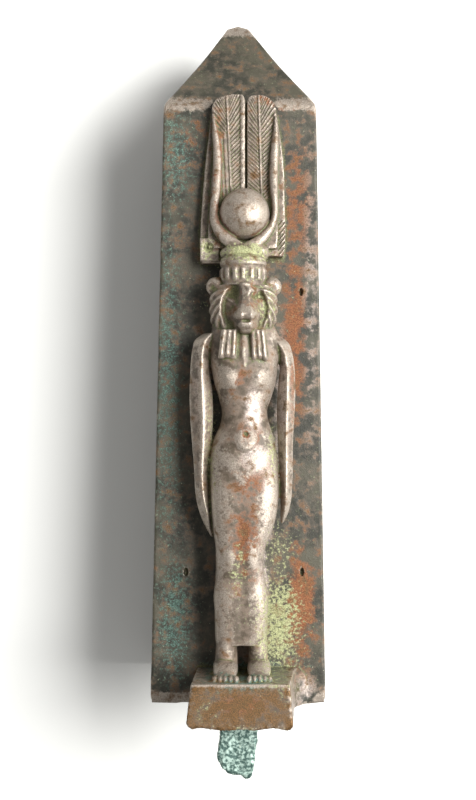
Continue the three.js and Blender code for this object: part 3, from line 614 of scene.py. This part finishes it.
def engrave(points, facing):
    """Fine carving on the front of the goddess: feathers, vane, ears and knob."""
    x, y, h = points.T
    front = soft_step(facing, 0.35, 0.7)
    flat = np.abs(h - plume_face(y)) < 0.5
    change = feather_relief(x, y) * flat * soft_step(y, 150, 153)
    low_plate = np.abs(h - plume_face(y) + PLATE_DROP) < 0.7
    vane = within(x, 11.9, 14.6, 0.3) * within(y, 133, 144.5, 0.5) * low_plate
    change = change - 0.25 * vane * (1 + np.cos((y - 1.2 * x) * 2 * math.pi / 1.5))
    ears = hill(x, y, -7.6, 124, 1.1, 1.3) + 0.5 * hill(x, y, 10.4, 124, 1.1, 1.3)
    change = change - 1.0 * ears
    change = change - 0.9 * soft_step(1.6 - np.hypot(x + 8.7, y - 136.3), 0, 0.7) * (h > 4.6)
    return change * front


def cast_goddess(obelisk):
    """The goddess, crown, plinth and tang joined into one skin."""
    bm = bmesh.new()
    carve_block(bm)
    carve_body(bm)
    carve_arm(bm, LEFT_ARM)
    carve_arm(bm, RIGHT_ARM)
    carve_head(bm)
    carve_lappets(bm)
    carve_crown(bm)
    carve_foot(bm, -3.6, -3.2, 3.8, 3.1, 1)
    carve_foot(bm, 6.1, 5.7, 3.6, 2.7, -1)
    carve_tang(bm)
    pillar = Matrix.Translation((1.6, 69, 1.1)) @ Matrix.Diagonal((6.8, 118, 4.2, 1))
    bmesh.ops.create_cube(bm, size=1.0, matrix=pillar)
    made = new_object(bm, "goddess_part")
    apply(made, "REMESH", mode="VOXEL", voxel_size=CAST_VOXEL)
    apply(made, "SMOOTH", factor=0.5, iterations=1)
    points = vectors(made.data)
    normals = vectors(made.data, "vertex_normals", "vector")
    points[:, 2] += engrave(points, normals[:, 2])
    put(made.data, points)
    normals = vectors(made.data, "vertex_normals", "vector")
    points += normals * corrosion(points)[:, None]
    put(made.data, points)
    apply(made, "DECIMATE", ratio=FIGURE_FACES / max(1, 2 * len(made.data.polygons)))
    points = vectors(made.data)
    points[:, 2] += front_at(obelisk, points[:, 1])
    put(made.data, points)
    return made


def corrosion(points):
    """How far corrosion lifts or eats the surface, in carving sizes."""
    x, y, h = points.T
    fine = 0.6 * grain(points, 0.9) + 0.4 * grain(points, 0.45, 9.3)
    broad = grain(points, 3.1, 4.1)
    tang = soft_step(-y, 0.2, 1.5)
    crust = hill(x, y, 1.5, 134, 7, 3) + hill(x, y, 1.6, 126.5, 7, 1.2) * 0.5
    foot = within(y, -1.5, 2.5, 1) * (h > -0.5)
    rough = 0.045 + 0.25 * tang + 0.22 * crust + 0.12 * foot
    return rough * (fine + 0.8 * broad * (tang + crust)) + 0.05 * broad


def front_at(obelisk, y):
    """Height of the obelisk's front face above its back."""
    return obelisk["depth"] - obelisk["slope"] * y


def cast_obelisk(obelisk):
    foot_rings = 0.05
    shoulder_ring = 0.87
    shoulder, top = obelisk["shoulder"], obelisk["height"]
    columns = (0, 0.215, 0.235, 0.25, 0.265, 0.285, 0.425, 0.44, 0.455, 0.5)
    places = (0, 0.94, 0.975, 1, 1.025, 1.06, 2.95, 3, 3.05, 4)

    def place(across, t, out):
        # the first rings close the foot, the rest climb the sides to the worn point
        y = np.interp(t, (0, foot_rings, shoulder_ring, 1), (0, 0, shoulder, top))
        inner = np.clip(t / foot_rings, 0, 1)
        rise = (y - shoulder) / (top - shoulder)
        up = np.clip(rise, 0, 1)
        dish = obelisk["hollow"] * np.sin(math.pi * up)
        sides = mix(obelisk["half_foot"], obelisk["half_shoulder"], y / shoulder)
        wide = soft_min(sides, mix(obelisk["half_shoulder"], 2.9, rise) - dish, 0.7)
        front = soft_min(front_at(obelisk, y), mix(front_at(obelisk, shoulder), 27.5, rise) - dish, 0.7)
        back = mix(0, 21.5, up) + dish
        deep = (front - back) / 2
        turn = np.arctan2(across, out) / (2 * math.pi)
        along = np.interp(np.abs(turn), columns, places)
        a = np.where(along <= 1, along, np.where(along <= 3, 1, 4 - along))
        b = np.where(along <= 1, 1, np.where(along <= 3, 2 - along, -1))
        # arrises: the last bit of each face turns round a small radius
        from_side, from_face = (1 - np.abs(a)) * wide, (1 - np.abs(b)) * deep
        radius = obelisk["arris"] * (1 + 0.35 * np.sin(y * 0.35 + 3 * b) * np.sin(y * 0.13))
        near = np.clip(np.maximum(from_side, from_face) / radius, 0, 1)
        angle = math.pi / 4 * (1 + np.where(from_face < from_side, near, -near))
        corner = near < 1
        x = np.where(corner, wide - radius + radius * np.cos(angle), np.abs(a) * wide)
        z = np.where(corner, deep - radius + radius * np.sin(angle), np.abs(b) * deep)
        x, z = x * np.sign(turn) * inner, z * np.sign(b + 1e-9) * inner + (front + back) / 2
        return x + obelisk["drift"] * y * (1 - up), y, z

    bm = bmesh.new()
    shell(bm, 200, 240, place)
    made = new_object(bm, "obelisk_part")
    points = vectors(made.data)
    normals = vectors(made.data, "vertex_normals", "vector")
    points += normals * weathering(points, normals)[:, None]
    points[:, 2] = np.maximum(points[:, 2], 0)
    put(made.data, points)
    cuts = bmesh.new()
    for x, y, wide, tall in PITS:
        lump(cuts, x, y, front_at(obelisk, y), wide, tall, 1.4)
    pits = new_object(cuts, "pits")
    apply(made, "BOOLEAN", operation="DIFFERENCE", object=pits, solver="MANIFOLD")
    bpy.data.objects.remove(pits)
    return made


def weathering(points, normals):
    """How far the obelisk's faces are worn, pitted or crusted."""
    x, y, z = points.T
    front = soft_step(normals[:, 2], 0.5, 0.9)
    fine = grain(points, 1.3) * 0.6 + grain(points, 0.7, 5.2) * 0.4
    crust = hill(x, y, 18, 25, 8, 22) + 0.6 * hill(x, y, 16, 60, 8, 20)
    change = -0.05 + 0.05 * fine + 0.14 * crust * np.maximum(0, grain(points, 1.1, 2.2)) * front
    for px, py, wide, tall in PITS:
        ring = np.hypot((x - px) / (wide + 0.9), (y - py) / (tall + 0.9))
        change = change + 0.12 * front * (1 - soft_step(ring, 0.7, 1.3))
    foot = 1 - soft_step(y, 0, 2.2)
    change = change - foot * (0.35 + 0.35 * grain(points, 3.4, 1.7))
    return change


def cast_statuette(obelisk):
    goddess = cast_goddess(obelisk)
    pillar = cast_obelisk(obelisk)
    apply(goddess, "BOOLEAN", operation="UNION", object=pillar, solver="MANIFOLD")
    bpy.data.objects.remove(pillar)
    points = vectors(goddess.data)
    paint_patina(goddess.data, points, obelisk)
    points[:, 1] += FOOT_Y
    low, high = np.array(LOW) / MM, np.array(HIGH) / MM
    put(goddess.data, np.clip(points, low, high) * MM)
    goddess.name = "cast_goddess_and_obelisk"
    goddess.data.shade_smooth()
    return goddess


# Patina that the photo shows, and pale painted highlights where the light glints: kind, x, y, reach across, reach
# up, strength
STAINS = (
    ("rust", 2, 200, 9, 8, 0.5),
    ("rust", 14, 184, 9, 6, 0.8),
    ("rust", -13, 172, 6, 10, 0.3),
    ("rust", 18, 150, 5, 22, 0.5),
    ("rust", 17, 112, 4, 30, 0.7),
    ("rust", 19, 30, 5, 18, 0.8),
    ("rust", 2, 50, 5, 14, 0.6),
    ("rust", 4, 68, 6, 8, 0.5),
    ("rust", 3, 80, 4, 4, 0.8),
    ("rust", -1, 97, 5, 4, 0.5),
    ("rust", 0, 148, 6, 6, 0.4),
    ("rust", -6, 157, 2, 22, 0.6),
    ("rust", 1, 6, 9, 4, 0.9),
    ("rust", 3, 121, 4, 5, 0.4),
    ("teal", -19, 165, 7, 18, 0.6),
    ("teal", -21, 95, 5, 60, 0.6),
    ("teal", -19, 25, 6, 22, 0.7),
    ("teal", 3, 11.5, 16, 2.5, 0.9),
    ("teal", 0, 205, 6, 6, 0.3),
    ("lime", 12, 24, 8, 18, 0.9),
    ("lime", 12, 46, 7, 10, 0.5),
    ("lime", 2, 134, 9, 3.5, 1.0),
    ("lime", 2, 127, 8, 3, 0.5),
    ("lime", 8, 119, 5, 8, 0.6),
    ("lime", -8, 116, 3, 7, 0.3),
    ("lime", -9, 136, 3, 4, 0.8),
    ("lime", -8, 75, 2, 24, 0.6),
    ("lime", 10, 76, 2, 10, 0.7),
    ("lime", 0, 41, 4, 10, 0.5),
    ("lime", -9, 4, 4, 6, 0.6),
    ("lime", 2, -1, 16, 2.5, 0.5),
    ("lime", 0, 187, 12, 3, 0.3),
    ("lime", 2, 104, 5, 4, 0.3),
    # painted highlights: pale patches where the light glints on the body, legs, arms, disk, obelisk's right side
    # and plinth
    ("sheen", 4.5, 88, 3, 8, 0.9),
    ("sheen", 5, 74, 5, 5, 0.9),
    ("sheen", 8.5, 58, 2, 16, 0.8),
    ("sheen", 7.5, 38, 2, 16, 0.8),
    ("sheen", 3, 148, 6, 6, 0.6),
    ("sheen", 13, 90, 3, 22, 0.7),
    ("sheen", -11, 95, 3, 16, 0.5),
    ("sheen", 22, 120, 3, 60, 0.4),
    ("sheen", 19, 4, 5, 5, 0.7),
)


def standing_out(mesh, points, normals, rounds):
    """How far each point stands out of its neighbourhood, in carving sizes."""
    ends = np.empty(len(mesh.edges) * 2, np.int32)
    mesh.edges.foreach_get("vertices", ends)
    near, far = ends[0::2], ends[1::2]
    both, other = np.r_[near, far], np.r_[far, near]
    count = np.maximum(np.bincount(both, minlength=len(points)), 1)[:, None]
    soft = points
    for _ in range(rounds):
        soft = np.stack([np.bincount(both, soft[other, n], len(points)) for n in range(3)], 1) / count
    return ((points - soft) * normals).sum(axis=1)


def paint_patina(mesh, points, obelisk):
    """Stores where the bronze is worn, crusted and stained, and where pale painted highlights go, one value a
    vertex.
    """
    x, y, z = points.T
    normals = vectors(mesh, "vertex_normals", "vector")
    raised = standing_out(mesh, points, normals, 12)
    above = z - front_at(obelisk, y)
    front = soft_step(above, -1.5, 0)
    layers = {
        "wear": soft_step(raised, 0.03, 0.3),
        "crust": soft_step(-raised, 0.02, 0.3),
        "figure": soft_step(above, 1.2, 3.0),
        "tang": soft_step(-y, 1.2, 2.4) * (above > 2),
        "disk": (np.hypot(x - 1.9, y - 146.1) < 8) * soft_step(above, 8.5, 9.5),
        "plinth": within(y, -1.5, 11, 0.6) * soft_step(above, 20, 23),
    }
    for kind, cx, cy, rx, ry, strength in STAINS:
        layers[kind] = np.maximum(layers.get(kind, 0), strength * hill(x, y, cx, cy, rx, ry) * front)
    for name, values in layers.items():
        layer = mesh.attributes.new(name, "FLOAT", "POINT")
        layer.data.foreach_set("value", np.asarray(values, np.float32) * np.ones(len(points), np.float32))


def node(tree, kind, inputs, **settings):
    """Adds a node with its settings, and links or fills its inputs."""
    made = tree.nodes.new(kind)
    for key, value in settings.items():
        setattr(made, key, value)
    for name, value in inputs.items():
        if isinstance(value, bpy.types.NodeSocket):
            tree.links.new(value, made.inputs[name])
        else:
            made.inputs[name].default_value = value
    return made


def calculate(tree, operation, *values):
    return node(tree, "ShaderNodeMath", dict(enumerate(values)), operation=operation).outputs[0]


def blend_colours(tree, share, under, over):
    inputs = {"Factor": share, "A": under, "B": over}
    made = tree.nodes.new("ShaderNodeMix")
    made.data_type = "RGBA"
    sockets = {"Factor": 0, "A": 6, "B": 7}
    for name, value in inputs.items():
        socket = made.inputs[sockets[name]]
        if isinstance(value, bpy.types.NodeSocket):
            tree.links.new(value, socket)
        else:
            socket.default_value = value
    return made.outputs[2]


def patinated_bronze():
    """Dark bronze with rust, teal and lime crusts, worn metal where hands have rubbed it, and pale painted
    highlights where the light glints.
    """
    material = bpy.data.materials.new("patinated_bronze")
    material.use_nodes = True
    tree = material.node_tree
    shader = tree.nodes["Principled BSDF"]
    place = node(tree, "ShaderNodeTexCoord", {}).outputs["Object"]

    def mottle(size_mm, detail=4.0, rough=0.6, shift=0.0):
        moved = node(tree, "ShaderNodeVectorMath", {0: place, 1: (shift, shift, shift)}, operation="ADD")
        settings = {"Vector": moved.outputs[0], "Scale": 1 / (size_mm * MM), "Detail": detail, "Roughness": rough}
        return node(tree, "ShaderNodeTexNoise", settings).outputs["Fac"]

    def layer(name):
        return node(tree, "ShaderNodeAttribute", {}, attribute_name=name).outputs["Fac"]

    def ease(value, low, high):
        settings = {"Value": value, "From Min": low, "From Max": high}
        return node(tree, "ShaderNodeMapRange", settings, interpolation_type="SMOOTHSTEP").outputs["Result"]

    broad, middle, small, specks = mottle(12), mottle(3.2), mottle(0.9, 6), mottle(0.35, 5, 0.7)
    base = blend_colours(tree, ease(broad, 0.4, 0.6), hex_colour("#2b2a20"), hex_colour("#4a4638"))
    base = blend_colours(tree, ease(middle, 0.42, 0.66), base, hex_colour("#5d5347"))
    bronze = blend_colours(tree, ease(middle, 0.35, 0.65), hex_colour("#54493c"), hex_colour("#8a7a6c"))
    colour = blend_colours(tree, layer("figure"), base, bronze)
    colour = blend_colours(tree, layer("disk"), colour, hex_colour("#6b5147"))
    wear_and_highlight = 0.0
    crusted = 0.0
    # each layer: attribute, noise, gain, where it starts and is full, two colours
    for name, noise_fac, gain, low, high, dark, pale in (
        ("rust", middle, 0.45, 0.58, 0.8, "#5f3622", "#94603c"),
        ("teal", small, 0.35, 0.6, 0.85, "#22352d", "#6b8c80"),
        # pale painted highlight, which also makes its patches more metallic and glossy
        ("sheen", middle, 0.5, 0.62, 0.9, "#8f8279", "#c3b6ad"),
        ("wear", small, 0.5, 0.62, 0.95, "#8b8074", "#b5a89a"),
        ("crust", small, 0.45, 0.55, 0.85, "#3b3a26", "#6e6f49"),
        ("lime", small, 0.4, 0.66, 0.86, "#76794f", "#b9bb8f"),
        ("plinth", middle, 0.2, 0.5, 0.75, "#4a3a22", "#75542f"),
    ):
        share = ease(calculate(tree, "MULTIPLY_ADD", layer(name), gain, noise_fac), low, high)
        tint = blend_colours(tree, ease(specks, 0.35, 0.65), hex_colour(dark), hex_colour(pale))
        colour = blend_colours(tree, share, colour, tint)
        if name in ("sheen", "wear"):
            wear_and_highlight = calculate(tree, "MAXIMUM", share, wear_and_highlight)
        if name in ("lime", "teal", "rust"):
            crusted = calculate(tree, "MAXIMUM", share, crusted)
    crystals = blend_colours(tree, ease(small, 0.42, 0.62), hex_colour("#3d5750"), hex_colour("#a9c0b4"))
    colour = blend_colours(tree, layer("tang"), colour, crystals)
    flecks = calculate(tree, "MULTIPLY", ease(mottle(0.7, 3, 0.5, 3.0), 0.7, 0.76), 0.6)
    colour = blend_colours(tree, flecks, colour, hex_colour("#c9c8a8"))
    tree.links.new(colour, shader.inputs["Base Color"])
    # worn metal and painted highlights are made more metallic and smoother
    metal = calculate(tree, "MULTIPLY_ADD", wear_and_highlight, 0.45, 0.1)
    tree.links.new(metal, shader.inputs["Metallic"])
    rough = calculate(tree, "MULTIPLY_ADD", crusted, 0.3, 0.5)
    rough = calculate(tree, "MULTIPLY_ADD", wear_and_highlight, -0.14, rough)
    tree.links.new(rough, shader.inputs["Roughness"])
    relief = calculate(tree, "MULTIPLY_ADD", small, 0.5, specks)
    bump = node(tree, "ShaderNodeBump", {"Height": relief, "Distance": 0.18 * MM, "Strength": 0.6})
    tree.links.new(bump.outputs["Normal"], shader.inputs["Normal"])
    return material


class STATUETTE_OT_casting(bpy.types.Operator):
    """Casts the goddess, crown, plinth, tang and obelisk as one piece"""

    bl_idname = "statuette.casting"
    bl_label = "Bronze Casting"

    def execute(self, context):
        obelisk = {
            "height": 210.0,
            "shoulder": 181.0,
            "half_foot": 26.3,
            "half_shoulder": 23.3,
            "depth": 50.0,
            "slope": 0.0304,
            "hollow": 0.7,
            "arris": 0.8,
            "drift": 0.0033,
        }
        made = cast_statuette(obelisk)
        made.data.materials.clear()
        made.data.materials.append(patinated_bronze())
        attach(made, "root")
        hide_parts(NODE)
        return {"FINISHED"}


class STATUETTE_OT_studio(bpy.types.Operator):
    """Lays out the pale table, the soft light and the camera above"""

    bl_idname = "statuette.studio"
    bl_label = "Studio"

    def execute(self, context):
        scene = context.scene
        bm = bmesh.new()
        bmesh.ops.create_grid(bm, x_segments=8, y_segments=8, size=1.5)
        floor = new_object(bm, "pale_table")
        paper = bpy.data.materials.new("paper")
        paper.use_nodes = True
        shader = paper.node_tree.nodes["Principled BSDF"]
        shader.inputs["Base Color"].default_value = hex_colour("#f4f4f0")
        shader.inputs["Roughness"].default_value = 0.9
        floor.data.materials.append(paper)
        world = bpy.data.worlds.new("studio_air")
        world.use_nodes = True
        world.node_tree.nodes["Background"].inputs[0].default_value = hex_colour("#ffffff")
        world.node_tree.nodes["Background"].inputs[1].default_value = 0.35
        scene.world = world
        light = bpy.data.lights.new("window", "AREA")
        light.energy = 14
        light.size = 0.5
        window = bpy.data.objects.new("window", light)
        window.location = (0.5, 0.1, 0.6)
        window.rotation_euler = (-Vector(window.location)).to_track_quat("-Z", "Y").to_euler()
        scene.collection.objects.link(window)
        camera = bpy.data.cameras.new("overhead")
        camera.sensor_width = 36
        camera.lens = 36 * 1137 / 800
        camera.clip_start = 0.01
        stand = bpy.data.objects.new("overhead", camera)
        stand.location = (0, FOOT_Y * MM + 0.0909, 0.39)
        scene.collection.objects.link(stand)
        scene.camera = stand
        scene.view_settings.view_transform = "Standard"
        return {"FINISHED"}


CLASSES = (STATUETTE_OT_casting, STATUETTE_OT_studio)


def register():
    for kind in CLASSES:
        bpy.utils.register_class(kind)


def unregister():
    for kind in reversed(CLASSES):
        bpy.utils.unregister_class(kind)


def main():
    register()
    bpy.ops.statuette.casting()
    bpy.ops.statuette.studio()


if __name__ == "__main__":
    main()
